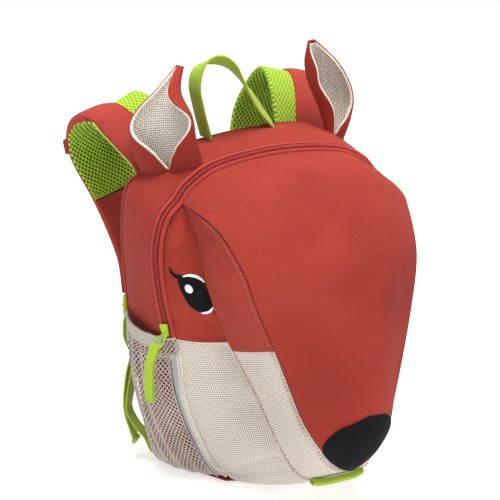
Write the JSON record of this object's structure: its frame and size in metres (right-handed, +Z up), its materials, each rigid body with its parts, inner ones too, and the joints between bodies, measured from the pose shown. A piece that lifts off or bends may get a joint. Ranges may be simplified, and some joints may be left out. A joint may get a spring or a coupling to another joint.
{
  "type": "kids backpack",
  "caption": "Kids backpack shaped as an animal head with ears and a snout: zipped main compartment, net side pockets, padded shoulder straps and a webbing handle.",
  "frame": {"origin": "middle of the bottom, on the surface that the bag stands on and in the plane of the zip", "axes": "+Z up, -Y the way the snout points, +Y towards the wearer's back, +X to the right of someone who looks at the face"},
  "size_m": [0.2688, 0.2856, 0.3802],
  "materials": {
    "red_cloth": "matt twill",
    "red_zip": "woven tape with a nylon coil",
    "cream_cloth": "coarse plain weave",
    "lime_webbing": "woven webbing",
    "lime_mesh": "spacer mesh",
    "lime_plastic": "satin",
    "black_cloth": "matt",
    "grey_piping": "coated reflective tape",
    "net": "knitted net"
  },
  "bodies": {
    "root": {"body_wall": "red_cloth", "back_panel": "red_cloth", "bottom_panel": "red_cloth", "zip_tape": "red_zip", "zip_slider": "lime_plastic", "zip_puller": "lime_webbing", "piping_left": "grey_piping", "piping_right": "grey_piping", "eye_panel_left": "red_cloth", "eye_panel_right": "red_cloth", "snout_gusset_left": "red_cloth", "snout_gusset_right": "red_cloth", "cheek_panel": "cream_cloth", "snout_band": "cream_cloth", "face_panel": "red_cloth", "nose_patch": "black_cloth", "tongue_loop": "lime_webbing", "ear_left": "red_cloth", "ear_right": "red_cloth", "ear_lining_left": "cream_cloth", "ear_lining_right": "cream_cloth", "carry_handle": "lime_webbing", "strap_cover_left": "red_cloth", "strap_cover_right": "red_cloth", "strap_mesh_left": "lime_mesh", "strap_mesh_right": "lime_mesh", "strap_lower_left": "red_cloth", "strap_lower_right": "red_cloth", "strap_tab_left": "red_cloth", "strap_tab_right": "red_cloth", "ladder_lock_left": "lime_plastic", "ladder_lock_right": "lime_plastic", "strap_webbing_left": "lime_webbing", "strap_webbing_right": "lime_webbing", "mesh_pocket_left": "net", "mesh_pocket_right": "net", "pocket_hem_left": "net", "pocket_hem_right": "net"}
  },
  "joints": []
}
